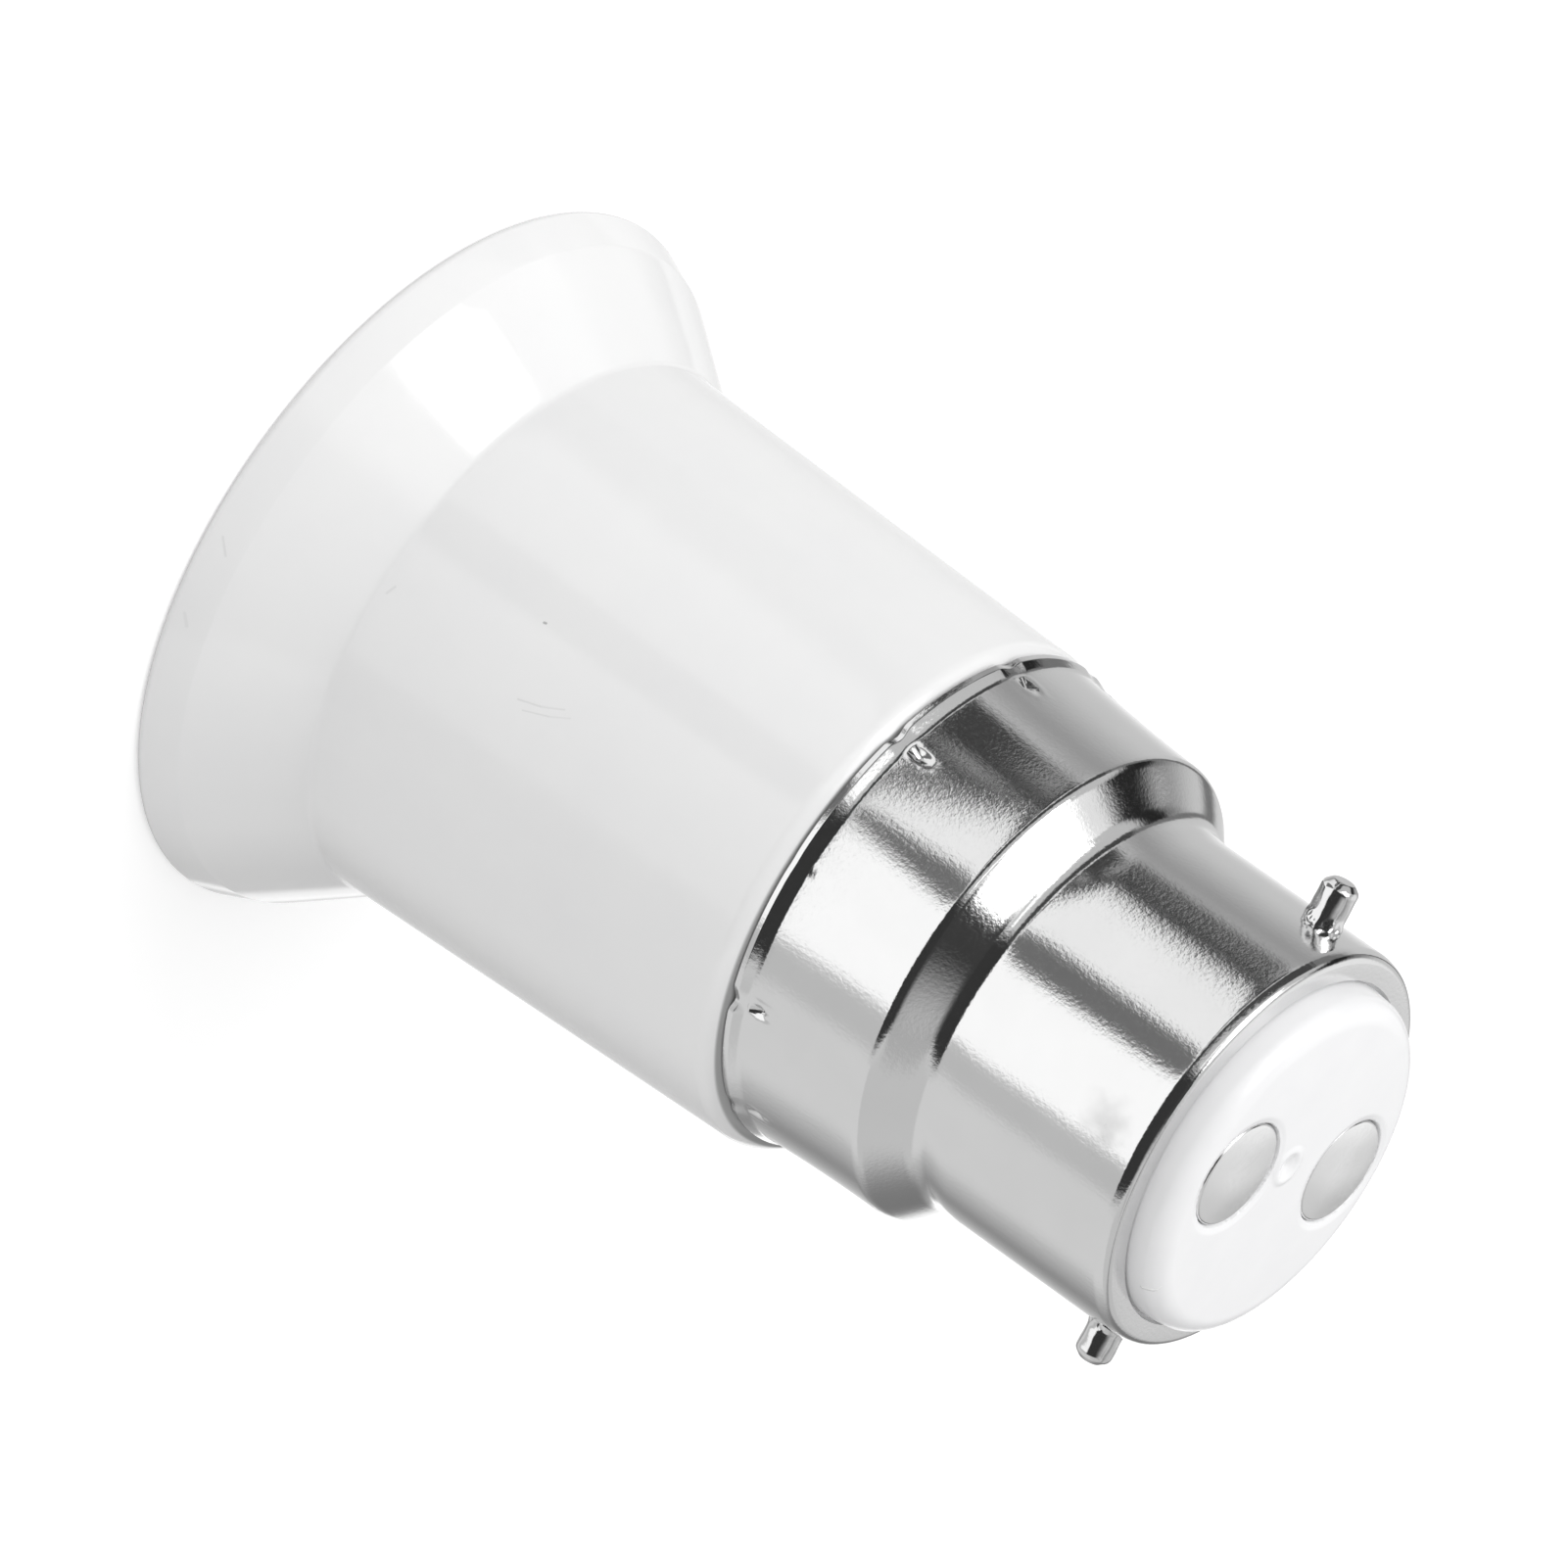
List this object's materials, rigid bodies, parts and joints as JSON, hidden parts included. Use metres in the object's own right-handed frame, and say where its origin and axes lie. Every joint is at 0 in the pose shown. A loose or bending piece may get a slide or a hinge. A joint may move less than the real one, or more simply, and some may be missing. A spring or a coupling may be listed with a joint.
{
  "type": "lamp socket adapter",
  "caption": "Lamp socket adapter: a nickel-plated bayonet cap on a white housing with a flared mouth and a screw-thread lamp socket inside.",
  "frame": {"origin": "centre of the mouth's rim plane, on which the adapter stands", "axes": "+Z along the axis from the mouth to the bayonet end, the bayonet pins along Y and the end contacts along X"},
  "size_m": [0.039, 0.039, 0.0578],
  "materials": {
    "white_plastic": "glossy moulded white",
    "insulator_plastic": "glossy moulded white",
    "nickel_plate": "bright nickel plate with faint drawing marks",
    "pin_metal": "bright plated",
    "contact_metal": "satin tinned",
    "shell_metal": "bright nickel plate",
    "rivet_metal": "plated",
    "spring_bronze": "bright spring strip",
    "tag_brass": "bright strip",
    "copper": "tinned copper",
    "live_sleeving": "soft sleeving",
    "neutral_sleeving": "soft sleeving",
    "solder": "bright solder"
  },
  "bodies": {
    "adapter": {"housing": "white_plastic", "bayonet_cap": "nickel_plate", "bayonet_pin_a": "pin_metal", "bayonet_pin_b": "pin_metal", "end_insulator": "insulator_plastic", "end_contact_a": "contact_metal", "end_contact_b": "contact_metal", "contact_tag_a": "tag_brass", "contact_tag_b": "tag_brass", "screw_shell": "shell_metal", "shell_rivet_a": "rivet_metal", "shell_rivet_b": "rivet_metal", "shell_tag": "tag_brass", "centre_rivet": "rivet_metal", "centre_tag": "tag_brass", "live_wire": "copper", "live_sleeve": "live_sleeving", "neutral_wire": "copper", "neutral_sleeve": "neutral_sleeving", "solder_live_end": "solder", "solder_live_floor": "solder", "solder_neutral_end": "solder", "solder_neutral_floor": "solder"},
    "centre_contact": {"centre_contact": "spring_bronze"}
  },
  "joints": [
    {"name": "centre_contact_flex", "type": "hinge", "parent": "adapter", "child": "centre_contact", "pos_m": [0.0032, 0, 0.0288], "axis": [0, 1, 0], "range_deg": [0, 14], "stiffness_Nm_per_rad": 0.08, "deforming": ["centre_contact"]}
  ]
}
